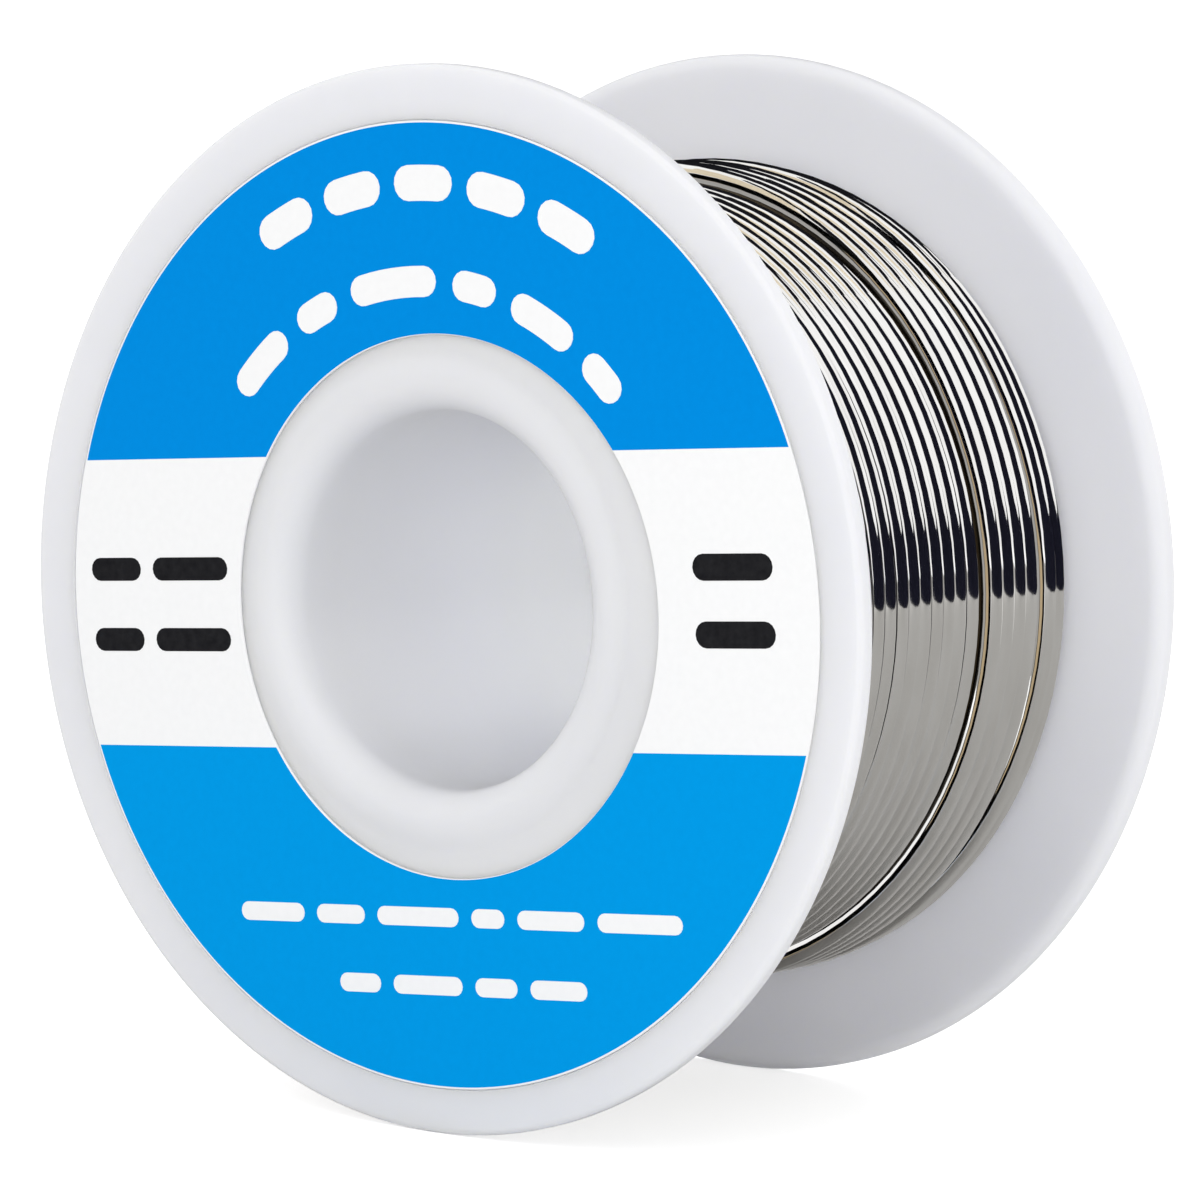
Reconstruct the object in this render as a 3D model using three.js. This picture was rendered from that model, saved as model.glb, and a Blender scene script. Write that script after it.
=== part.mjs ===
// A small solder wire spool, standing on the two rims of its flanges.
//
// Millimetres, +Z up. The spool's axis is Y, the labelled front face looks along -Y, and the
// origin is on the standing surface, midway between the flanges.
//
// The spool is two mouldings. The front one carries a hub sleeve that runs through the bore and
// snaps into the outer sleeve of the rear one. The wire is one length. Its topmost layer covers only
// the rear part of the winding, so the layer below shows in front of it. The turns that show are a
// single unbroken tube here, and the layers under them are a plain ring with one step.

import * as THREE from "three";

// ---- Driving dimensions -------------------------------------------------------------------------

const FLANGE_RADIUS = 22.5;
const SPOOL_WIDTH = 22.3;
const FLANGE_THICKNESS = 1.1;
const BORE_RADIUS = 8.0;
const SLEEVE_WALL = 0.9;
const LABEL_OUTER_RADIUS = 20.3;
const LABEL_INNER_RADIUS = 11.4;
const LABEL_THICKNESS = 0.2;
const BOSS_RADIUS = 10.3;
const WINDING_RADIUS = 17.95;

// Where the wire lies: its place along the axis after a number of turns, even from one row to the
// next. The turns are about 0.82 mm apart. From 16.45 to 16.62 turns the wire climbs to the topmost
// layer, and from 20.45 to 20.62 it leaves a narrow groove.
const LAY = [
  [0, -9.6],
  [8, -2.855],
  [16.45, 4.075],
  [16.62, 4.1],
  [20.45, 7.43],
  [20.62, 8.06],
  [22.5, 9.64],
];
const CLIMB = [16.45, 16.62];
const LAYER_STEP = 0.693;

// ---- Secondary dimensions -----------------------------------------------------------------------

const RIM_ROUNDING = 0.45;
const MOUTH_ROUNDING = 1.4;
const RECESS_DEPTH = 0.3;
const RECESS_MARGIN = 0.35;
// The label sits a little low on the flange, and its hole is a little off the bore's middle.
const LABEL_SHIFT = { right: 0.05, up: -0.2 };
const HOLE_SHIFT = { right: 0.72, up: -0.17 };
const FIT_GAP = 0.2;
const SNAP_BEAD_HEIGHT = 0.25;
const SNAP_BEAD_LENGTH = 0.8;
const SNAP_BEAD_SETBACK = 0.8;
const WIRE_GAP = 0.3;

const ROUND_SIDES = 48;
const LOOP_STEPS = 24;
const TUBE_SIDES = 6;

// The sections' lowest side is flat, so the spool stands on a flat of each rim.
const HALF_SIDE_ANGLE = Math.PI / ROUND_SIDES;
const AXIS_HEIGHT = FLANGE_RADIUS * Math.cos(HALF_SIDE_ANGLE);

const HALF_WIDTH = SPOOL_WIDTH / 2;
const INNER_HALF_WIDTH = HALF_WIDTH - FLANGE_THICKNESS;
const RECESS_RADIUS = LABEL_OUTER_RADIUS + RECESS_MARGIN;
const INNER_SLEEVE_RADIUS = BORE_RADIUS + SLEEVE_WALL;
const OUTER_SLEEVE_BORE = INNER_SLEEVE_RADIUS + FIT_GAP;
const HUB_RADIUS = OUTER_SLEEVE_BORE + SLEEVE_WALL;

const TURNS = LAY[LAY.length - 1][0];
// The tube is thinner than the wire's 0.8 mm, so that its turns keep over 0.4 mm between them.
const TUBE_DIAMETER = 0.4;
const TUBE_RADIUS = TUBE_DIAMETER / 2;
const TOP_PATH_RADIUS = WINDING_RADIUS - TUBE_RADIUS;
const LOWER_PATH_RADIUS = TOP_PATH_RADIUS - LAYER_STEP;
// The tube's straight steps dip below its path, so the core keeps clear of their middles.
const CORE_CLEARANCE = TUBE_RADIUS + WIRE_GAP;
const TOP_CORE_RADIUS = TOP_PATH_RADIUS * Math.cos(Math.PI / LOOP_STEPS) - CORE_CLEARANCE;
const LOWER_CORE_RADIUS = LOWER_PATH_RADIUS * Math.cos(Math.PI / LOOP_STEPS) - CORE_CLEARANCE;
const CORE_STEP_ALONG = 4.6;

// ---- Materials ----------------------------------------------------------------------------------

function material(color, roughness, metalness) {
  return new THREE.MeshStandardMaterial({ color, roughness, metalness });
}

const MILKY_PLASTIC = [0xe6e6ea, 0.4, 0];
const PRINTED_BLUE = [0x0694e3, 0.45, 0];
const SOLDER = [0xb9b6b0, 0.28, 1];

// ---- Sections of the turned pieces --------------------------------------------------------------

// Points of an arc about (radius, along), from one angle to another in degrees.
function arc(radius, along, rounding, fromAngle, toAngle, steps) {
  const points = [];
  for (let i = 0; i <= steps; i += 1) {
    const angle = THREE.MathUtils.degToRad(fromAngle + ((toAngle - fromAngle) * i) / steps);
    const outward = radius + rounding * Math.cos(angle);
    points.push([outward, along + rounding * Math.sin(angle)]);
  }
  return points;
}

// A closed section of [radius, along the axis] points, turned about the spool's axis.
function turned(section, side = 1) {
  const points = section.map(([radius, along]) => new THREE.Vector2(radius, side * along));
  if (side < 0) {
    points.reverse();
  }
  points.push(points[0].clone());
  return new THREE.LatheGeometry(points, ROUND_SIDES, HALF_SIDE_ANGLE);
}

// Both halves share the flange: its rounded rim, the shallow recess of its outer face, the boss
// inside the recess and the rolled mouth of the bore. The sections are drawn for the flange at -Y.
function rimPoints() {
  const centreRadius = FLANGE_RADIUS - RIM_ROUNDING;
  return [
    [RECESS_RADIUS, -HALF_WIDTH],
    ...arc(centreRadius, -HALF_WIDTH + RIM_ROUNDING, RIM_ROUNDING, -90, 0, 3),
    ...arc(centreRadius, -INNER_HALF_WIDTH - RIM_ROUNDING, RIM_ROUNDING, 0, 90, 3),
  ];
}

function mouthPoints() {
  const centreRadius = BORE_RADIUS + MOUTH_ROUNDING;
  return [
    ...arc(centreRadius, -HALF_WIDTH + MOUTH_ROUNDING, MOUTH_ROUNDING, 180, 270, 5),
    [BOSS_RADIUS, -HALF_WIDTH],
    [BOSS_RADIUS, -HALF_WIDTH + RECESS_DEPTH],
    [RECESS_RADIUS, -HALF_WIDTH + RECESS_DEPTH],
  ];
}

// The front half: its sleeve lines the whole bore and ends in a snap bead inside the rear half.
function frontHalfSection() {
  const sleeveEnd = HALF_WIDTH - MOUTH_ROUNDING - FIT_GAP;
  const beadStart = sleeveEnd - SNAP_BEAD_SETBACK - SNAP_BEAD_LENGTH;
  return [
    ...rimPoints(),
    [INNER_SLEEVE_RADIUS, -INNER_HALF_WIDTH],
    [INNER_SLEEVE_RADIUS, beadStart],
    [INNER_SLEEVE_RADIUS + SNAP_BEAD_HEIGHT, beadStart + SNAP_BEAD_LENGTH / 2],
    [INNER_SLEEVE_RADIUS, beadStart + SNAP_BEAD_LENGTH],
    [INNER_SLEEVE_RADIUS, sleeveEnd],
    [BORE_RADIUS, sleeveEnd],
    ...mouthPoints(),
  ];
}

// The rear half, drawn for -Y and turned round to +Y: its sleeve goes over the front half's.
function rearHalfSection() {
  const shoulder = -HALF_WIDTH + MOUTH_ROUNDING;
  const grooveStart = shoulder + FIT_GAP + SNAP_BEAD_SETBACK;
  const sleeveEnd = INNER_HALF_WIDTH - FIT_GAP;
  return [
    ...rimPoints(),
    [HUB_RADIUS, -INNER_HALF_WIDTH],
    [HUB_RADIUS, sleeveEnd],
    [OUTER_SLEEVE_BORE, sleeveEnd],
    [OUTER_SLEEVE_BORE, grooveStart + SNAP_BEAD_LENGTH],
    [OUTER_SLEEVE_BORE + SNAP_BEAD_HEIGHT, grooveStart + SNAP_BEAD_LENGTH / 2],
    [OUTER_SLEEVE_BORE, grooveStart],
    [OUTER_SLEEVE_BORE, shoulder],
    ...mouthPoints(),
  ];
}

// The layers under the turns that show, one step higher where the topmost layer covers them.
function coreSection() {
  const innerRadius = HUB_RADIUS + FIT_GAP;
  const halfLength = INNER_HALF_WIDTH - FIT_GAP;
  return [
    [innerRadius, -halfLength],
    [LOWER_CORE_RADIUS, -halfLength],
    [LOWER_CORE_RADIUS, CORE_STEP_ALONG],
    [TOP_CORE_RADIUS, CORE_STEP_ALONG],
    [TOP_CORE_RADIUS, halfLength],
    [innerRadius, halfLength],
  ];
}

// The label: a round sheet with a round hole, its front flush with the rim's outer face.
function labelSheet() {
  const outline = new THREE.Shape();
  outline.absarc(LABEL_SHIFT.right, LABEL_SHIFT.up, LABEL_OUTER_RADIUS, 0, 2 * Math.PI);
  const hole = new THREE.Path();
  hole.absarc(HOLE_SHIFT.right, HOLE_SHIFT.up, LABEL_INNER_RADIUS, 0, 2 * Math.PI, true);
  outline.holes.push(hole);
  const sheet = new THREE.ExtrudeGeometry(outline, {
    depth: LABEL_THICKNESS,
    bevelEnabled: false,
    curveSegments: ROUND_SIDES,
  });
  sheet.rotateX(Math.PI / 2);
  sheet.translate(0, -HALF_WIDTH + LABEL_THICKNESS, 0);
  return sheet;
}

// ---- The turns of wire that show ----------------------------------------------------------------

const START_ANGLE = THREE.MathUtils.degToRad(10);

function between(knots, turns) {
  const next = knots.findIndex(([at]) => at >= turns);
  if (next <= 0) {
    return knots[0][1];
  }
  const [fromTurns, from] = knots[next - 1];
  const [toTurns, to] = knots[next];
  return from + ((to - from) * (turns - fromTurns)) / (toTurns - fromTurns);
}

function pathRadius(turns) {
  const climbed = THREE.MathUtils.clamp((turns - CLIMB[0]) / (CLIMB[1] - CLIMB[0]), 0, 1);
  return LOWER_PATH_RADIUS + climbed * LAYER_STEP;
}

function aroundAxis(turns, radius) {
  const angle = START_ANGLE + 2 * Math.PI * turns;
  const along = between(LAY, turns);
  return new THREE.Vector3(Math.sin(angle) * radius, along, Math.cos(angle) * radius);
}

// The wire rises square out of the layer below, winds across the spool and stops at its cut end.
function wirePath() {
  const points = [aroundAxis(0, LOWER_PATH_RADIUS - TUBE_DIAMETER)];
  for (let step = 0; step <= TURNS * LOOP_STEPS; step += 1) {
    const turns = step / LOOP_STEPS;
    points.push(aroundAxis(turns, pathRadius(turns)));
  }
  return points;
}

// A closed tube of one section along straight steps, mitred where they meet.
function tube(path, radius, sides) {
  const axis = new THREE.Vector3(0, 1, 0);
  const steps = path.slice(1).map((point, i) => point.clone().sub(path[i]).normalize());
  const positions = [];
  path.forEach((point, i) => {
    const before = steps[Math.max(i - 1, 0)];
    const after = steps[Math.min(i, steps.length - 1)];
    const mitre = before.clone().add(after);
    const across = new THREE.Vector3().crossVectors(axis, after).normalize();
    const upward = new THREE.Vector3().crossVectors(after, across);
    for (let side = 0; side < sides; side += 1) {
      const angle = (2 * Math.PI * side) / sides;
      const offset = across.clone().multiplyScalar(radius * Math.cos(angle));
      offset.addScaledVector(upward, radius * Math.sin(angle));
      offset.addScaledVector(after, -offset.dot(mitre) / after.dot(mitre));
      positions.push(...point.clone().add(offset).toArray());
    }
  });
  const index = [];
  for (let ring = 0; ring < path.length - 1; ring += 1) {
    for (let side = 0; side < sides; side += 1) {
      const a = ring * sides + side;
      const b = ring * sides + ((side + 1) % sides);
      index.push(a, b, b + sides, a, b + sides, a + sides);
    }
  }
  const last = (path.length - 1) * sides;
  for (let side = 1; side < sides - 1; side += 1) {
    index.push(0, side + 1, side);
    index.push(last, last + side, last + side + 1);
  }
  const geometry = new THREE.BufferGeometry();
  geometry.setAttribute("position", new THREE.Float32BufferAttribute(positions, 3));
  geometry.setIndex(index);
  geometry.computeVertexNormals();
  return geometry;
}

// Least gap between the wire's surface and itself, measured between points along its path that
// are at least half a turn apart.
function leastGap(path) {
  const samples = [];
  const splits = 4;
  for (let i = 1; i < path.length - 1; i += 1) {
    for (let k = 0; k < splits; k += 1) {
      samples.push(path[i].clone().lerp(path[i + 1], k / splits));
    }
  }
  const halfTurn = (LOOP_STEPS * splits) / 2;
  let least = Infinity;
  for (let i = 0; i < samples.length; i += 1) {
    const end = Math.min(samples.length, i + 3 * halfTurn);
    for (let j = i + halfTurn; j < end; j += 1) {
      least = Math.min(least, samples[i].distanceTo(samples[j]));
    }
  }
  return least - TUBE_DIAMETER;
}

// ---- The object ---------------------------------------------------------------------------------

const spool = new THREE.Group();

function addPiece(name, geometry, finish) {
  const piece = new THREE.Mesh(geometry, material(...finish));
  piece.name = name;
  piece.position.z = AXIS_HEIGHT;
  spool.add(piece);
}

const outerPath = wirePath();

addPiece("front_spool_half", turned(frontHalfSection()), MILKY_PLASTIC);
addPiece("rear_spool_half", turned(rearHalfSection(), -1), MILKY_PLASTIC);
addPiece("front_label", labelSheet(), PRINTED_BLUE);
addPiece("wire_inner_layers", turned(coreSection()), SOLDER);
addPiece("wire_outer_layer", tube(outerPath, TUBE_RADIUS, TUBE_SIDES), SOLDER);

console.log(`wire_outer_layer: least gap to itself ${leastGap(outerPath).toFixed(3)} mm`);

export default spool;
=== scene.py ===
import math

import bmesh
import bpy
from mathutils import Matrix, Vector, noise


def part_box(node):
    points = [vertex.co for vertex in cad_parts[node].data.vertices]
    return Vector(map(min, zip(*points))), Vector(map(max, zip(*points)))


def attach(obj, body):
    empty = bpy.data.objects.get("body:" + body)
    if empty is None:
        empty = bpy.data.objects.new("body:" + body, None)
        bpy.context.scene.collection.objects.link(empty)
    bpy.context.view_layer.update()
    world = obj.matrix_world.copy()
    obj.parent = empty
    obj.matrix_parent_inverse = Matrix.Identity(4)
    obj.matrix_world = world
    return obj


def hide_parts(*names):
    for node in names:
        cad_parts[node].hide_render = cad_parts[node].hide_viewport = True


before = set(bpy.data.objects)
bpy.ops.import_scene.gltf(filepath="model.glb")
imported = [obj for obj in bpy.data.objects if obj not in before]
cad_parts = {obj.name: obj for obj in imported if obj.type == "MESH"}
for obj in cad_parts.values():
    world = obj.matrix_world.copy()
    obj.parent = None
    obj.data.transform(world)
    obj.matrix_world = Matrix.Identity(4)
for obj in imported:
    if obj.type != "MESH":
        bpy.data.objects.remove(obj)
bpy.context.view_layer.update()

# The looks of a small solder wire spool that stands on its two rims. Metres, +Z up, the spool's
# axis along Y, its labelled face towards -Y.

MM = 0.001
BODY = "root"

# ---- Sizes, from the frame and the same driving dimensions as the solids ------------------------

FRONT_LOW, FRONT_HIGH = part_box("front_spool_half")
REAR_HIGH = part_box("rear_spool_half")[1]
AXIS_HEIGHT = (FRONT_LOW.z + FRONT_HIGH.z) / 2
FLANGE_RADIUS = (FRONT_HIGH.z - FRONT_LOW.z) / 2
HALF_WIDTH = REAR_HIGH.y
FLANGE_THICKNESS = 1.1 * MM
INNER_HALF_WIDTH = HALF_WIDTH - FLANGE_THICKNESS

BORE_RADIUS = 8.0 * MM
MOUTH_ROUNDING = 1.4 * MM
SLEEVE_WALL = 0.9 * MM
RECESS_DEPTH = 0.16 * MM
# The boss round the mouth ends at this radius, and falls off into the recess over the last stretch.
BOSS_RADIUS = 10.6 * MM
BOSS_SLOPE = 1.1 * MM
# The rim's roundings on its outer and inner side, across the axis and along it.
FRONT_ROUNDING = (0.3 * MM, 0.25 * MM)
INNER_ROUNDING = (0.7 * MM, 0.5 * MM)
SEAM = 0.03 * MM
LIP = 0.05 * MM
TINY = 0.001 * MM

LABEL_INNER_RADIUS = 11.4 * MM
LABEL_OUTER_RADIUS = 20.3 * MM
LABEL_THICKNESS = 0.12 * MM
# The label sits a little low on the flange, and its hole is punched a little off the bore's middle.
LABEL_SHIFT = Vector((0.05 * MM, 0, -0.2 * MM))
HOLE_SHIFT = Vector((0.72 * MM, 0, -0.17 * MM))
RECESS_RADIUS = LABEL_OUTER_RADIUS + 0.03 * MM
# The print is turned a little on the spool. Its white band reaches this far above and below middle.
LABEL_TURN = math.radians(4.1)
BAND_HALF_HEIGHT = 6.2 * MM

WIRE_RADIUS = 0.4 * MM
# The turns that show are drawn a hair thicker, and those under them a hair thinner.
TOP_WIRE_RADIUS = 0.403 * MM
UNDER_WIRE_RADIUS = 0.395 * MM
WINDING_RADIUS = 17.95 * MM
# Where the wire lies: its place along the axis in millimetres after a number of turns. It climbs
# from the lower layer to the topmost one in a sixth of a turn, and later leaves a narrow groove.
# Stretches shorter than a given share of a turn are eased at both ends.
LAY = (
    (0, -9.6),
    (8, -2.855),
    (15.4, 3.214),
    (16.45, 4.16),
    (16.62, 4.17),
    (20.45, 7.43),
    (20.62, 8.12),
    (22.5, 9.64),
)
SHORT_STRETCH = 0.5
TURNS = 22.5
CLIMB = (16.45, 16.62)
LAYER_STEP = 0.693 * MM
# The last turn lies a little lower than the ones before it.
LAST_TURN = (21.45, 21.62)
LAST_TURN_DIP = 0.13 * MM
START_ANGLE = math.radians(10)
# The topmost turns lie a little further to the rear over the top of the spool. The bend ends and
# starts over these shares of a turn from the top.
BEND = 0.13 * MM
BEND_ENDS = (0.125, 0.19)
BEND_STARTS = (0.6, 0.75)

# ---- Meshes -------------------------------------------------------------------------------------


def new_piece(name, vertices, faces, material, smooth_angle=None):
    """One piece of the object, from its points and faces in the row frame."""
    mesh = bpy.data.meshes.new(name)
    mesh.from_pydata(vertices, [], faces)
    mesh.update()
    piece = bpy.data.objects.new(name, mesh)
    bpy.context.scene.collection.objects.link(piece)
    mesh.materials.append(material)
    shade(mesh, smooth_angle)
    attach(piece, BODY)
    return piece


def shade(mesh, smooth_angle):
    """Smooth faces, with sharp edges where two faces meet at more than smooth_angle."""
    mesh.polygons.foreach_set("use_smooth", [True] * len(mesh.polygons))
    if smooth_angle is not None:
        mesh.set_sharp_from_angle(angle=smooth_angle)


def arc(radius, along, out, length, start, end, steps):
    """Points of an ellipse's arc about (radius, along), from one angle to another in degrees."""
    points = []
    for i in range(steps + 1):
        angle = math.radians(start + (end - start) * i / steps)
        points.append((radius + out * math.cos(angle), along + length * math.sin(angle)))
    return points


def turned(section, sides):
    """Points and faces of a closed section of (radius, along) points turned about the axis."""
    vertices = []
    for i in range(sides):
        angle = 2 * math.pi * i / sides
        x, z = math.sin(angle), math.cos(angle)
        vertices.extend((radius * x, along, AXIS_HEIGHT + radius * z) for radius, along in section)
    count = len(section)
    faces = []
    for i in range(sides):
        here, beyond = i * count, (i + 1) % sides * count
        for j in range(count):
            k = (j + 1) % count
            faces.append((here + j, beyond + j, beyond + k, here + k))
    return vertices, faces


# ---- Shader helpers -----------------------------------------------------------------------------


def new_material(name):
    material = bpy.data.materials.new(name)
    material.use_nodes = True
    tree = material.node_tree
    return material, tree, tree.nodes["Principled BSDF"]


def node(tree, kind, **settings):
    made = tree.nodes.new(kind)
    for key, value in settings.items():
        if key in made.inputs:
            made.inputs[key].default_value = value
        else:
            setattr(made, key, value)
    return made


def noise_at(tree, scale, detail=3.0, stretch=(1, 1, 1)):
    """Noise in the object's own metres, stretched along its axes."""
    place = node(tree, "ShaderNodeTexCoord")
    mapping = node(tree, "ShaderNodeMapping", Scale=stretch)
    texture = node(tree, "ShaderNodeTexNoise", Scale=scale, Detail=detail)
    tree.links.new(place.outputs["Object"], mapping.inputs["Vector"])
    tree.links.new(mapping.outputs["Vector"], texture.inputs["Vector"])
    return texture.outputs["Fac"]


def ramp(tree, factor, low, high, low_at=0.3, high_at=0.7):
    """Colours from low to high as factor goes from low_at to high_at."""
    made = node(tree, "ShaderNodeValToRGB")
    made.color_ramp.elements[0].position = low_at
    made.color_ramp.elements[1].position = high_at
    made.color_ramp.elements[0].color = (*low, 1)
    made.color_ramp.elements[1].color = (*high, 1)
    tree.links.new(factor, made.inputs["Fac"])
    return made.outputs["Color"]


def remap(tree, factor, low, high):
    """A number from low to high as factor goes from 0.3 to 0.7."""
    made = node(tree, "ShaderNodeMapRange")
    made.inputs["From Min"].default_value = 0.3
    made.inputs["From Max"].default_value = 0.7
    made.inputs["To Min"].default_value = low
    made.inputs["To Max"].default_value = high
    tree.links.new(factor, made.inputs["Value"])
    return made.outputs["Result"]


def bump(tree, shader, height, strength, distance):
    made = node(tree, "ShaderNodeBump", Strength=strength, Distance=distance)
    tree.links.new(height, made.inputs["Height"])
    tree.links.new(made.outputs["Normal"], shader.inputs["Normal"])


# ---- Materials ----------------------------------------------------------------------------------

# Painted light in the bore: the plastic is painted lighter and bluer from the first radius to the
# second, and from the first place along the axis to the second, towards the rear mouth where light
# comes in.
BORE_LIGHT_RADII = (BORE_RADIUS + 0.6 * MM, BORE_RADIUS + 0.1 * MM)
BORE_LIGHT_ALONG = (-8 * MM, 5 * MM)

def vector_math(tree, operation, vector, constant=None):
    made = node(tree, "ShaderNodeVectorMath", operation=operation)
    tree.links.new(vector, made.inputs[0])
    if constant is not None:
        made.inputs[1].default_value = constant
    return made.outputs


def share_of(tree, value, span):
    """A number from 0 to 1 as value goes over a span."""
    made = node(tree, "ShaderNodeMapRange")
    made.inputs["From Min"].default_value, made.inputs["From Max"].default_value = span
    tree.links.new(value, made.inputs["Value"])
    return made.outputs["Result"]


def painted_bore_light(tree, colour, bore_light_colour):
    """Painted light: the sleeve's inside is painted lighter and bluer than the rest, the more so
    towards its rear end, where light comes in at the rear mouth.
    """
    place = node(tree, "ShaderNodeTexCoord").outputs["Object"]
    from_axis = vector_math(tree, "SUBTRACT", place, (0, 0, AXIS_HEIGHT))["Vector"]
    across = vector_math(tree, "MULTIPLY", from_axis, (1, 0, 1))["Vector"]
    radius = vector_math(tree, "LENGTH", across)["Value"]
    parts = node(tree, "ShaderNodeSeparateXYZ")
    tree.links.new(place, parts.inputs["Vector"])
    both = node(tree, "ShaderNodeMath", operation="MULTIPLY")
    tree.links.new(share_of(tree, radius, BORE_LIGHT_RADII), both.inputs[0])
    tree.links.new(share_of(tree, parts.outputs["Y"], BORE_LIGHT_ALONG), both.inputs[1])
    mix = node(tree, "ShaderNodeMix", data_type="RGBA")
    factor, first, second = mix.inputs[0], mix.inputs[6], mix.inputs[7]
    tree.links.new(both.outputs["Value"], factor)
    tree.links.new(colour, first)
    second.default_value = (*bore_light_colour, 1)
    return mix.outputs[2]


def milky_plastic():
    """Moulded plastic that lets light in, with faint flow marks, fine handling scuffs and painted
    light inside the bore.
    """
    material, tree, shader = new_material("milky_plastic")
    flow = noise_at(tree, 90, 2.0)
    colour = ramp(tree, flow, (0.765, 0.77, 0.797), (0.795, 0.798, 0.82))
    # Painted light: the bore's inside is painted lighter and bluer towards its rear mouth.
    colour = painted_bore_light(tree, colour, (0.9, 0.912, 0.975))
    tree.links.new(colour, shader.inputs["Base Color"])
    scuffs = noise_at(tree, 1400, 4.0)
    tree.links.new(remap(tree, scuffs, 0.34, 0.46), shader.inputs["Roughness"])
    shader.inputs["Subsurface Weight"].default_value = 0.9
    shader.inputs["Subsurface Radius"].default_value = (1.0, 1.0, 1.1)
    shader.inputs["Subsurface Scale"].default_value = 1.3 * MM
    shader.inputs["IOR"].default_value = 1.5
    bump(tree, shader, scuffs, 0.05, 0.02 * MM)
    return material


def solder_metal(name, darker, lighter, smoothest, roughest):
    """Drawn solder wire: a little uneven in tone, with fine marks along the wire; bright, or near
    black where it is the painted shade of the grooves.
    """
    material, tree, shader = new_material(name)
    tone = noise_at(tree, 260, 3.0, stretch=(1, 5, 1))
    tree.links.new(ramp(tree, tone, darker, lighter), shader.inputs["Base Color"])
    shader.inputs["Metallic"].default_value = 1.0
    marks = noise_at(tree, 900, 4.0, stretch=(1, 6, 1))
    tree.links.new(remap(tree, marks, smoothest, roughest), shader.inputs["Roughness"])
    bump(tree, shader, marks, 0.04, 0.02 * MM)
    return material


def printed(name, darker, lighter, roughness):
    """Ink on smooth label stock, with the slight unevenness of a printed solid."""
    material, tree, shader = new_material(name)
    grain = noise_at(tree, 2600, 3.0)
    tree.links.new(ramp(tree, grain, darker, lighter), shader.inputs["Base Color"])
    shader.inputs["Specular IOR Level"].default_value = 0.01
    wear = noise_at(tree, 300, 3.0)
    tree.links.new(remap(tree, wear, roughness, roughness + 0.1), shader.inputs["Roughness"])
    bump(tree, shader, grain, 0.04, 0.01 * MM)
    return material


# ---- The spool's two halves ---------------------------------------------------------------------

PLASTIC_SIDES = 288


def flange_rim():
    """The flange from its recess round the rim to its inner face, drawn for the flange at -Y."""
    out, along = FRONT_ROUNDING
    outer = arc(FLANGE_RADIUS - out, -HALF_WIDTH + along, out, along, -90, 0, 8)
    out, along = INNER_ROUNDING
    inner = arc(FLANGE_RADIUS - out, -INNER_HALF_WIDTH - along, out, along, 0, 90, 10)
    recess_edge = [
        (RECESS_RADIUS, -HALF_WIDTH + LIP),
        (RECESS_RADIUS + LIP, -HALF_WIDTH),
    ]
    return recess_edge + outer + inner


def flange_mouth():
    """From the bore's wall out round the rolled mouth, over the boss and down into the recess."""
    rolled = MOUTH_ROUNDING
    roll = arc(BORE_RADIUS + rolled, -HALF_WIDTH + rolled, rolled, rolled, 180, 270, 16)
    return roll + boss_slope() + [(RECESS_RADIUS, -HALF_WIDTH + RECESS_DEPTH)]


def boss_slope():
    """The boss falls off softly into the recess."""
    steps = 12
    points = []
    for step in range(steps + 1):
        share = step / steps
        fallen = (1 - math.cos(math.pi * share)) / 2
        radius = BOSS_RADIUS - BOSS_SLOPE * (1 - share)
        points.append((radius, -HALF_WIDTH + fallen * RECESS_DEPTH))
    return points


def front_half_section():
    inner = BORE_RADIUS + SLEEVE_WALL
    end = HALF_WIDTH - MOUTH_ROUNDING - SEAM
    sleeve = [(inner, -INNER_HALF_WIDTH), (inner, end), (BORE_RADIUS, end)]
    return flange_rim() + sleeve + flange_mouth()


def rear_half_section():
    bore = BORE_RADIUS + SLEEVE_WALL + SEAM
    outside = bore + SLEEVE_WALL
    end = INNER_HALF_WIDTH - SEAM
    shoulder = -HALF_WIDTH + MOUTH_ROUNDING
    sleeve = [(outside, -INNER_HALF_WIDTH), (outside, end), (bore, end), (bore, shoulder)]
    section = flange_rim() + sleeve + flange_mouth()
    return [(radius, -along) for radius, along in reversed(section)]


def shifted(vertices, section, least, most, shift):
    """The points of a turned section, those between two radii shifted across the axis."""
    moved = []
    for i, point in enumerate(vertices):
        radius, along = section[i % len(section)]
        on_front = least - TINY <= radius <= most + TINY and along < 0
        moved.append(Vector(point) + shift if on_front else Vector(point))
    return moved


def make_spool(material):
    for name, section in (("front", front_half_section()), ("rear", rear_half_section())):
        vertices, faces = turned(section, PLASTIC_SIDES)
        if name == "front":
            vertices = shifted(vertices, section, RECESS_RADIUS, RECESS_RADIUS + LIP, LABEL_SHIFT)
        piece = new_piece(
            name + "_spool_moulding", vertices, faces, material, math.radians(40)
        )
        piece.visible_glossy = False
        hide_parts(name + "_spool_half")


# ---- The label ----------------------------------------------------------------------------------

LABEL_BACK = -HALF_WIDTH + RECESS_DEPTH - 0.005 * MM
LABEL_FACE = LABEL_BACK - LABEL_THICKNESS
LABEL_SIDES = 256


def on_label(across, up, depth=LABEL_FACE):
    """A point given across and up the label's own print, which is turned a little on the spool."""
    x = across * math.cos(LABEL_TURN) - up * math.sin(LABEL_TURN)
    z = across * math.sin(LABEL_TURN) + up * math.cos(LABEL_TURN)
    return (x, depth, AXIS_HEIGHT + z)


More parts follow.
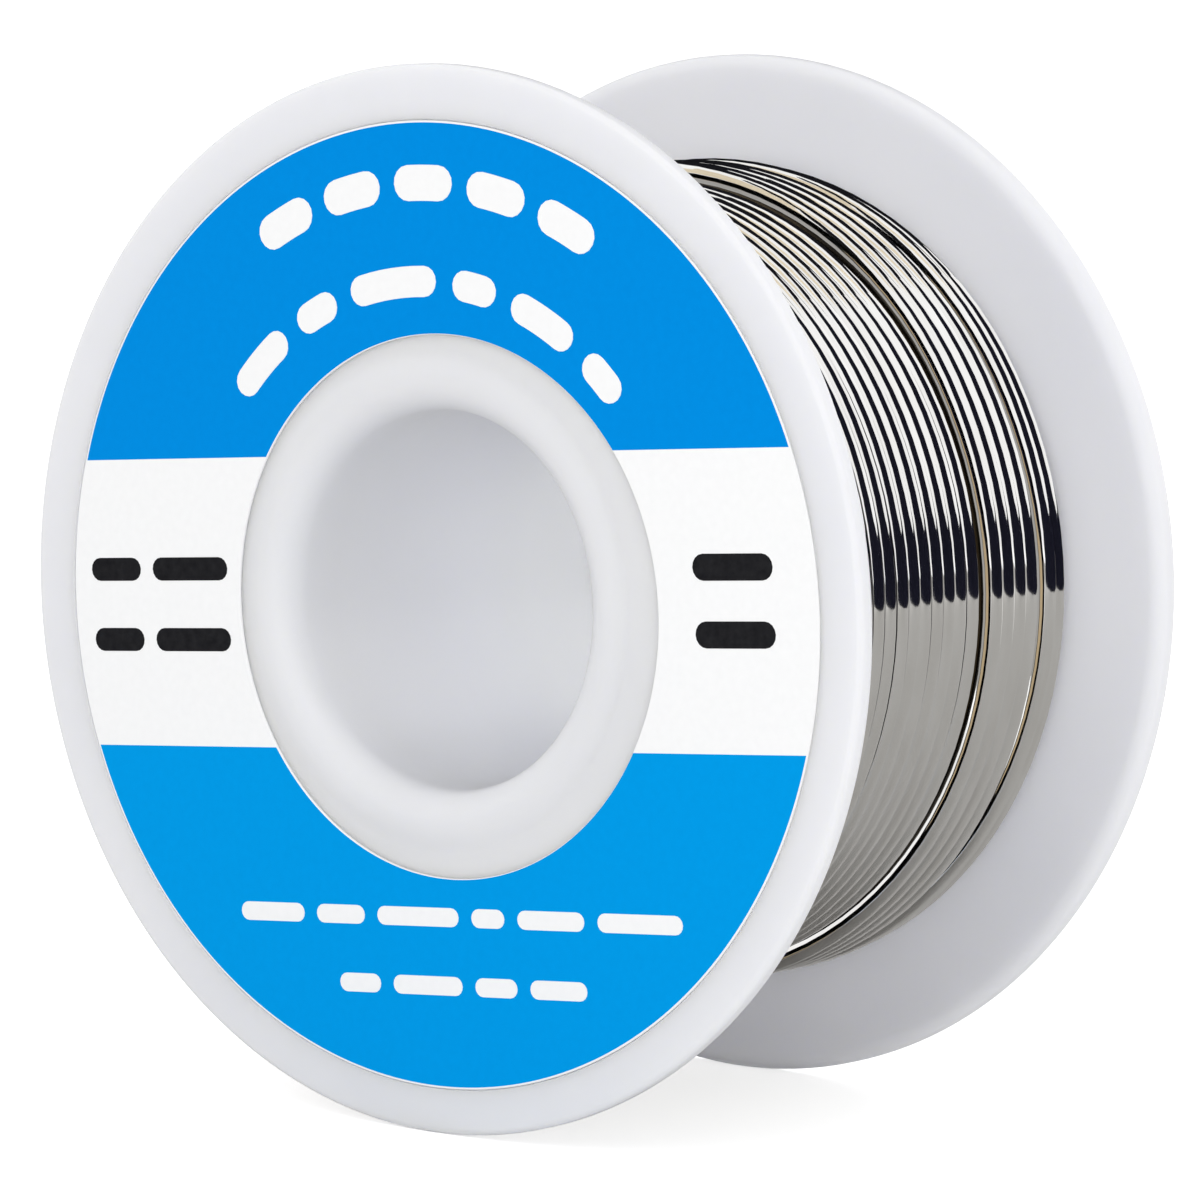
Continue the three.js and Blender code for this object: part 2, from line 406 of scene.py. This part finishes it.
def make_label(white, upper_blue, lower_blue):
    """A round sheet with a white band between two printed fields and a hair of bare edge. Its hole
    is punched a little off its middle."""
    edge = 0.03 * MM
    bare = 0.09 * MM
    inner, outer = LABEL_INNER_RADIUS, LABEL_OUTER_RADIUS
    section = [
        (inner, LABEL_FACE + edge),
        (inner + edge, LABEL_FACE),
        (inner + bare, LABEL_FACE),
        (outer - bare, LABEL_FACE),
        (outer - edge, LABEL_FACE),
        (outer, LABEL_FACE + edge),
        (outer, LABEL_BACK),
        (inner, LABEL_BACK),
    ]
    vertices, faces = turned(section, LABEL_SIDES)
    middle_radius = (inner + outer) / 2
    vertices = shifted(vertices, section, inner, middle_radius, HOLE_SHIFT)
    vertices = shifted(vertices, section, middle_radius, outer, LABEL_SHIFT)
    label = new_piece("front_label_sheet", vertices, faces, white, math.radians(30))
    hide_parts("front_label")
    label.data.materials.append(upper_blue)
    label.data.materials.append(lower_blue)
    shape = bmesh.new()
    shape.from_mesh(label.data)
    up = Vector(on_label(0, 1, 0)) - Vector(on_label(0, 0, 0))
    for height in (-BAND_HALF_HEIGHT, BAND_HALF_HEIGHT):
        bmesh.ops.bisect_plane(
            shape,
            geom=shape.verts[:] + shape.edges[:] + shape.faces[:],
            plane_co=on_label(0, height),
            plane_no=up,
        )
    axis = Vector((0, LABEL_FACE, AXIS_HEIGHT))
    hole, centre = axis + HOLE_SHIFT, axis + LABEL_SHIFT
    for face in shape.faces:
        middle = face.calc_center_median()
        in_print = (middle - hole).length > inner + edge and (middle - centre).length < outer - bare
        height = (middle - axis).dot(up)
        if middle.y < LABEL_FACE + edge / 4 and in_print and abs(height) > BAND_HALF_HEIGHT:
            face.material_index = 1 if height > 0 else 2
    shape.to_mesh(label.data)
    shape.free()


class Ink:
    """Flat printed shapes that lie on the label, gathered into one piece."""

    FILM = 0.008 * MM
    ROUND_STEPS = 8
    BEND_STEPS = 6

    def __init__(self):
        self.vertices = []
        self.faces = []

    def outline(self, points):
        first = len(self.vertices)
        count = len(points)
        for depth in (LABEL_FACE - self.FILM, LABEL_FACE - self.FILM / 8):
            self.vertices.extend(on_label(across, up, depth) for across, up in points)
        self.faces.append(tuple(range(first, first + count)))
        self.faces.append(tuple(reversed(range(first + count, first + 2 * count))))
        for i in range(count):
            j = (i + 1) % count
            self.faces.append((first + j, first + i, first + count + i, first + count + j))

    def straight_bar(self, across, up, length, height):
        """A bar with rounded ends, centred at (across, up)."""
        rounding = height / 2
        reach = length / 2 - rounding
        points = []
        for side, start in ((1, -90), (-1, 90)):
            for i in range(self.ROUND_STEPS + 1):
                angle = math.radians(start + 180 * i / self.ROUND_STEPS)
                points.append((
                    across + side * reach + rounding * math.cos(angle),
                    up + rounding * math.sin(angle),
                ))
        self.outline(points)

    def arc_bar(self, radius, middle, length, height):
        """The same bar bent round the label's centre, its middle at an angle in degrees."""
        rounding = height / 2
        reach = length / 2 - rounding
        flat = []
        for side, start in ((1, -90), (-1, 90)):
            for i in range(self.BEND_STEPS):
                flat.append((side * reach * (2 * i / self.BEND_STEPS - 1), -side * rounding))
            for i in range(self.ROUND_STEPS + 1):
                angle = math.radians(start + 180 * i / self.ROUND_STEPS)
                flat.append((
                    side * reach + rounding * math.cos(angle),
                    rounding * math.sin(angle),
                ))
        points = []
        for along, out in flat:
            angle = math.radians(middle) - along / radius
            distance = radius + out
            points.append((distance * math.cos(angle), distance * math.sin(angle)))
        self.outline(points)

    def piece(self, name, material):
        return new_piece(name, self.vertices, self.faces, material, math.radians(30))


def shared_out(start, end, shares, gap):
    """Middles and lengths of a row of bars from start to end, with one gap between them."""
    unit = (end - start - gap * (len(shares) - 1)) / sum(shares)
    at = start
    for share in shares:
        yield at + unit * share / 2, unit * share
        at += unit * share + gap


def arc_row(ink, radius, height, angles, shares, gap):
    """A row of bars bent round the label's centre, between two angles in degrees."""
    start, end = (-math.radians(angle) * radius for angle in angles)
    for middle, length in shared_out(start, end, shares, gap):
        ink.arc_bar(radius, -math.degrees(middle / radius), length, height)


def straight_row(ink, up, height, ends, shares, gap):
    for middle, length in shared_out(ends[0], ends[1], shares, gap):
        ink.straight_bar(middle, up, length, height)


def make_print(white, dark):
    """Plain bars where a label carries its words, in no pattern that can be read."""
    pale = Ink()
    arc_row(pale, 17.5 * MM, 1.5 * MM, (118.5, 56.5), (1, 1, 1, 1, 1), 0.8 * MM)
    arc_row(pale, 13.4 * MM, 1.3 * MM, (138, 38), (3, 2, 4, 2, 3, 2), 0.9 * MM)
    ends = (-11.5 * MM, 12.6 * MM)
    straight_row(pale, -13.25 * MM, 0.8 * MM, ends, (4, 3, 5, 2, 4, 5), 0.7 * MM)
    ends = (-6.1 * MM, 7.4 * MM)
    straight_row(pale, -16.15 * MM, 0.8 * MM, ends, (3, 5, 3, 4), 0.7 * MM)
    pale.piece("label_pale_marks", white)
    black = Ink()
    for up in (1.45 * MM, -1.6 * MM):
        straight_row(black, up, 1.0 * MM, (-19.2 * MM, -11.3 * MM), (2, 3), 0.7 * MM)
    for up in (1.4 * MM, -1.35 * MM):
        straight_row(black, up, 1.1 * MM, (14.0 * MM, 18.1 * MM), (1,), 0)
    black.piece("label_dark_marks", dark)


# ---- The wire -----------------------------------------------------------------------------------

STEPS_A_TURN = 96
WIRE_SIDES = 16
HALF_PITCH = 0.41 * MM


def eased(turns, span):
    """From 0 to 1 over a span of turns, with no corner at either end."""
    share = min(max((turns - span[0]) / (span[1] - span[0]), 0.0), 1.0)
    return share * share * (3 - 2 * share)


def lay_along(turns):
    for (start, start_along), (end, end_along) in zip(LAY, LAY[1:]):
        if turns <= end:
            break
    share = (turns - start) / (end - start)
    if end - start < SHORT_STRETCH:
        share = eased(turns, (start, end))
    return (start_along + (end_along - start_along) * share) * MM


def lay_radius(turns):
    lowest = WINDING_RADIUS - WIRE_RADIUS - LAYER_STEP
    return lowest + LAYER_STEP * eased(turns, CLIMB) - LAST_TURN_DIP * eased(turns, LAST_TURN)


def bend(turns):
    """How far a topmost turn is bent to the rear at its place round the spool."""
    place = (turns + START_ANGLE / (2 * math.pi)) % 1
    share = 1 - eased(place, BEND_ENDS) + eased(place, BEND_STARTS)
    return BEND * share * eased(turns, CLIMB)


def wander(turns, seed, size):
    """A small smooth unevenness in the lay of the wire."""
    return size * noise.noise(Vector((turns * 2.3, seed, 0.5)))


def wire_path(turns_shown, along_shift, radius_shift):
    """Points of (angle, radius, along) on the wire's path or on a copy of it shifted from there."""
    points = []
    for step in range(round(turns_shown * STEPS_A_TURN) + 1):
        turns = step / STEPS_A_TURN
        along = lay_along(turns) + bend(turns) + along_shift + wander(turns, 3.1, 0.02 * MM)
        radius = lay_radius(turns) + radius_shift + wander(turns, 8.4, 0.03 * MM)
        points.append((START_ANGLE + 2 * math.pi * turns, radius, along))
    return points


def make_wire(name, path, wire_radius, material, replaced):
    """A round wire along (angle, radius, along) points, closed by a flat cut at each end.

    Each turn mirrors its surroundings, as in the photograph, and not the turns beside it.
    """
    vertices = []
    for angle, radius, along in path:
        out = Vector((math.sin(angle), 0, math.cos(angle)))
        centre = out * radius + Vector((0, along, AXIS_HEIGHT))
        for side in range(WIRE_SIDES):
            turn = 2 * math.pi * side / WIRE_SIDES
            offset = out * math.cos(turn) + Vector((0, math.sin(turn), 0))
            vertices.append(centre + offset * wire_radius)
    faces = [tuple(range(WIRE_SIDES))]
    for ring in range(len(path) - 1):
        here, beyond = ring * WIRE_SIDES, (ring + 1) * WIRE_SIDES
        for side in range(WIRE_SIDES):
            k = (side + 1) % WIRE_SIDES
            faces.append((here + side, beyond + side, beyond + k, here + k))
    last = (len(path) - 1) * WIRE_SIDES
    faces.append(tuple(last + side for side in reversed(range(WIRE_SIDES))))
    piece = new_piece(name, vertices, faces, material, math.radians(50))
    piece.visible_glossy = False
    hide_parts(replaced)


# ---- Floor, light and camera --------------------------------------------------------------------

FLOOR_SIZE = 12
FLOOR_GREY = 0.86
# What the floor adds to its own light where it is seen directly, so that it shows white.
FLOOR_LIFT = 0.6
# The dark cards stand at one distance, so that no slit opens between them, and the warm ones behind.
CARD_DISTANCE = 0.25
WARM_CARD_DISTANCE = 0.3
CARD_COLUMNS = 36
GREY_CARD_HALF = 0.5
# The world's level as light, and where it is seen directly.
WORLD_LIGHT = 0.76
WORLD_SEEN = 1.0
# The lamps: azimuth and elevation in degrees, distance and size in metres, radiance. They light the
# object but don't show in its reflections.
LAMPS = {
    "front_box": (14, 42, 0.5, 0.36, 1.0),
    "back_box": (190, 42, 0.5, 0.34, 1.2),
    "back_right_fill": (132, 6, 0.35, 0.26, 1.0),
    "low_right_fill": (43, 6, 0.35, 0.11, 5.6),
}

def seen_directly(tree):
    """1 for a ray from the camera or from a reflection or refraction in the object, else 0."""
    path = node(tree, "ShaderNodeLightPath")
    either = node(tree, "ShaderNodeMath", operation="MAXIMUM")
    tree.links.new(path.outputs["Is Camera Ray"], either.inputs[0])
    tree.links.new(path.outputs["Is Glossy Ray"], either.inputs[1])
    any_of_them = node(tree, "ShaderNodeMath", operation="MAXIMUM")
    tree.links.new(either.outputs[0], any_of_them.inputs[0])
    tree.links.new(path.outputs["Is Transmission Ray"], any_of_them.inputs[1])
    return any_of_them.outputs[0]


def make_floor():
    bpy.ops.mesh.primitive_plane_add(size=FLOOR_SIZE, location=(0, 0, 0))
    floor = bpy.context.object
    floor.name = "floor"
    material, tree, shader = new_material("floor")
    shader.inputs["Base Color"].default_value = (FLOOR_GREY, FLOOR_GREY, FLOOR_GREY, 1)
    shader.inputs["Roughness"].default_value = 0.9
    shader.inputs["Specular IOR Level"].default_value = 0.0
    glow = node(tree, "ShaderNodeEmission")
    glow.inputs["Color"].default_value = (1, 1, 1, 1)
    lift = node(tree, "ShaderNodeMath", operation="MULTIPLY")
    lift.inputs[1].default_value = FLOOR_LIFT
    tree.links.new(seen_directly(tree), lift.inputs[0])
    tree.links.new(lift.outputs[0], glow.inputs["Strength"])
    both = node(tree, "ShaderNodeAddShader")
    tree.links.new(shader.outputs[0], both.inputs[0])
    tree.links.new(glow.outputs[0], both.inputs[1])
    tree.links.new(both.outputs[0], tree.nodes["Material Output"].inputs["Surface"])
    floor.data.materials.append(material)


def towards(azimuth, elevation):
    """A direction: azimuth 0 is the labelled side, 90 the right side of the photograph's view."""
    turn, lift = math.radians(azimuth), math.radians(elevation)
    return Vector((math.sin(turn) * math.cos(lift), -math.cos(turn) * math.cos(lift), math.sin(lift)))


def only_mirrored(card, colour):
    """A dull card that shows only as a reflection in the metal and the gloss of the plastic."""
    material, _, shader = new_material(card.name)
    shader.inputs["Base Color"].default_value = (*colour, 1)
    shader.inputs["Roughness"].default_value = 1.0
    shader.inputs["Specular IOR Level"].default_value = 0.0
    card.data.materials.append(material)
    card.visible_camera = False
    card.visible_diffuse = False
    card.visible_shadow = False
    card.visible_transmission = False


def add_card(name, vertices, faces, colour):
    mesh = bpy.data.meshes.new(name)
    mesh.from_pydata(vertices, [], faces)
    card = bpy.data.objects.new(name, mesh)
    bpy.context.scene.collection.objects.link(card)
    only_mirrored(card, colour)


def make_floor_card(name, azimuths, height, colour):
    """A flat sheet just over the floor: a fan from under the spool out to the given azimuths."""
    reach = [CARD_DISTANCE * towards(azimuth, 0).xy for azimuth in azimuths]
    points = [(x, y, height) for x, y in [(0, 0), *reach]]
    add_card(name, points, [tuple(range(len(points)))], colour)


def make_card(name, distance, rows, colour):
    """A curved card round the spool's middle, from rows of directions as given below."""
    across = CARD_COLUMNS
    middle = Vector((0, 0, AXIS_HEIGHT))
    vertices, faces = [], []
    for j, (elevation, first, last) in enumerate(rows):
        for i in range(across + 1):
            azimuth = first + (last - first) * i / across
            vertices.append(middle + distance * towards(azimuth, elevation))
            if i and j:
                here = j * (across + 1) + i
                below = here - across - 1
                faces.append((below - 1, below, here, here - 1))
    add_card(name, vertices, faces, colour)


def make_softbox(name, azimuth, elevation, distance, size, radiance):
    """A square lamp of even radiance that looks at the spool."""
    data = bpy.data.lights.new(name, "AREA")
    data.shape = "SQUARE"
    data.size = size
    data.energy = radiance * math.pi * size * size
    lamp = bpy.data.objects.new(name, data)
    direction = towards(azimuth, elevation)
    lamp.location = Vector((0, 0, AXIS_HEIGHT)) + direction * distance
    lamp.rotation_euler = direction.to_track_quat("Z", "Y").to_euler()
    lamp.visible_glossy = False
    bpy.context.scene.collection.objects.link(lamp)


def make_light():
    world = bpy.data.worlds.new("studio")
    bpy.context.scene.world = world
    world.use_nodes = True
    tree = world.node_tree
    background = tree.nodes["Background"]
    level = node(tree, "ShaderNodeMapRange")
    level.inputs["To Min"].default_value = WORLD_LIGHT
    level.inputs["To Max"].default_value = WORLD_SEEN
    tree.links.new(seen_directly(tree), level.inputs["Value"])
    tree.links.new(level.outputs["Result"], background.inputs["Strength"])
    background.inputs["Color"].default_value = (1, 1, 1, 1)
    for name, settings in LAMPS.items():
        make_softbox(name, *settings)


# What the wire mirrors, as rows of (elevation, first azimuth, last azimuth) in degrees.
DARK_SIDE = (
    (-4.95, 28, 214),
    (-1, 32, 204),
    (2, 35, 188),
    (5, 38, 162),
    (8, 41, 140),
    (13, 44, 125),
    (20, 48, 123),
    (30, 51, 129),
    (38, 53, 134),
    (44, 56, 137),
    (50, 58, 140),
    (56, 61, 146),
    (62, 66, 160),
    (67, 76, 166),
)
DARK_TOP = (
    (46, 170, 240),
    (52, 160, 244),
    (58, 150, 250),
    (64, 70, 256),
    (69, 88, 250),
    (72, 112, 200),
)
DARK_BACK = (
    (-4.95, 216, 246),
    (2, 209, 246),
    (8, 203, 242),
    (14, 198, 240),
    (20, 196, 238),
    (28, 192, 240),
    (38, 186, 240),
    (46, 176, 240),
    (52, 168, 240),
)
DARK_FRONT = (
    (8, -24, -8),
    (27, -20, -6),
    (46, -18, -2),
    (57, -30, -9),
    (65, -52, -20),
    (72, -75, -30),
)
DARK_LOW = (
    (-4.95, -60, 5),
    (-1, -60, 3),
    (2, -50, -6),
    (7, -48, -24),
)
TAN_FRONT = (
    (10, -46, -26),
    (45, -46, -19),
    (56, -60, -30),
)
IVORY_TOP = (
    (58, -30, 40),
    (66, -45, 55),
    (78, -60, 70),
)


NEAR_BLACK = (0.01, 0.01, 0.012)
BLUE_BLACK = (0.01, 0.01, 0.018)


def make_cards():
    """Grey below, dark round the right side and over the top, warm in front on the left."""
    half = GREY_CARD_HALF
    square = [(-half, -half), (half, -half), (half, half), (-half, half)]
    grey = [(x, y, 0.2 * MM) for x, y in square]
    add_card("grey_floor_card", grey, [(0, 1, 2, 3)], (0.4, 0.392, 0.378))
    make_floor_card("tan_floor_card", (-60, -45, -30, -15, -2), 0.3 * MM, (0.5, 0.39, 0.24))
    make_floor_card("pale_floor_card", (8, 14, 20), 0.4 * MM, (0.85, 0.84, 0.82))
    make_card("dark_side_card", CARD_DISTANCE, DARK_SIDE, BLUE_BLACK)
    make_card("dark_top_card", CARD_DISTANCE, DARK_TOP, (0.01, 0.01, 0.014))
    make_card("dark_back_card", CARD_DISTANCE, DARK_BACK, NEAR_BLACK)
    make_card("dark_front_card", CARD_DISTANCE, DARK_FRONT, NEAR_BLACK)
    make_card("dark_low_card", CARD_DISTANCE, DARK_LOW, BLUE_BLACK)
    make_card("tan_front_card", WARM_CARD_DISTANCE, TAN_FRONT, (0.8, 0.7, 0.53))
    make_card("ivory_top_card", WARM_CARD_DISTANCE, IVORY_TOP, (0.9, 0.8, 0.62))


# The camera was found by fitting the outlines of both flanges in the photograph. Its place is in
# flange radii, from the middle of the spool.
CAMERA_AZIMUTH = 38.75
CAMERA_ELEVATION = 6.0
CAMERA_ROLL = math.radians(0.33)
CAMERA_DISTANCE = 13.3469
CAMERA_RIGHT = 0.0055
CAMERA_UP = -0.0346
FITTED_RADIUS = 22.5 * MM
FOCAL_PIXELS = 6980.0
PHOTO_PIXELS = 1200
SENSOR = 36.0


def make_camera():
    back = towards(CAMERA_AZIMUTH, CAMERA_ELEVATION)
    level = towards(CAMERA_AZIMUTH + 90, 0)
    upright = back.cross(level)
    right = level * math.cos(CAMERA_ROLL) + upright * math.sin(CAMERA_ROLL)
    up = upright * math.cos(CAMERA_ROLL) - level * math.sin(CAMERA_ROLL)
    place = (back * CAMERA_DISTANCE + level * CAMERA_RIGHT) * FITTED_RADIUS
    place.z += CAMERA_UP * FITTED_RADIUS + AXIS_HEIGHT
    data = bpy.data.cameras.new("photo_camera")
    data.sensor_width = SENSOR
    data.lens = SENSOR * FOCAL_PIXELS / PHOTO_PIXELS
    data.clip_start = 0.01
    data.clip_end = 50
    camera = bpy.data.objects.new("photo_camera", data)
    bpy.context.scene.collection.objects.link(camera)
    turned_to = camera.matrix_world.to_3x3()
    for row in range(3):
        turned_to[row] = (right[row], up[row], back[row])
    camera.matrix_world = turned_to.to_4x4()
    camera.location = place
    bpy.context.scene.camera = camera


# ---- The scene ----------------------------------------------------------------------------------

make_camera()
make_light()
make_floor()
make_cards()

plastic = milky_plastic()
solder = solder_metal("solder_metal", (0.84, 0.83, 0.81), (0.93, 0.925, 0.915), 0.03, 0.06)
# Painted shade: the turns under the top layer show only in the grooves and gaps of the winding, and
# their near-black copy of the solder stands in for the shade there.
groove_shade_solder = solder_metal("groove_shade_solder", (0.045, 0.04, 0.035), (0.08, 0.07, 0.055), 0.2, 0.3)
paper = printed("label_white", (0.92, 0.92, 0.92), (0.94, 0.94, 0.94), 0.4)
upper_blue = printed("label_upper_blue", (0, 0.255, 0.725), (0, 0.265, 0.745), 0.35)
lower_blue = printed("label_lower_blue", (0, 0.315, 0.77), (0, 0.325, 0.79), 0.35)
dark_ink = printed("label_black", (0.012, 0.012, 0.014), (0.02, 0.02, 0.022), 0.4)

make_spool(plastic)
make_label(paper, upper_blue, lower_blue)
make_print(paper, dark_ink)
top_path = wire_path(TURNS, 0, 0)
under_path = wire_path(TURNS - 0.5, HALF_PITCH, -LAYER_STEP)
make_wire("wire_outer_turns", top_path, TOP_WIRE_RADIUS, solder, "wire_outer_layer")
# The under turns carry the painted shade of the grooves.
make_wire("wire_under_turns", under_path, UNDER_WIRE_RADIUS, groove_shade_solder, "wire_inner_layers")

bpy.context.scene.view_settings.view_transform = "Standard"
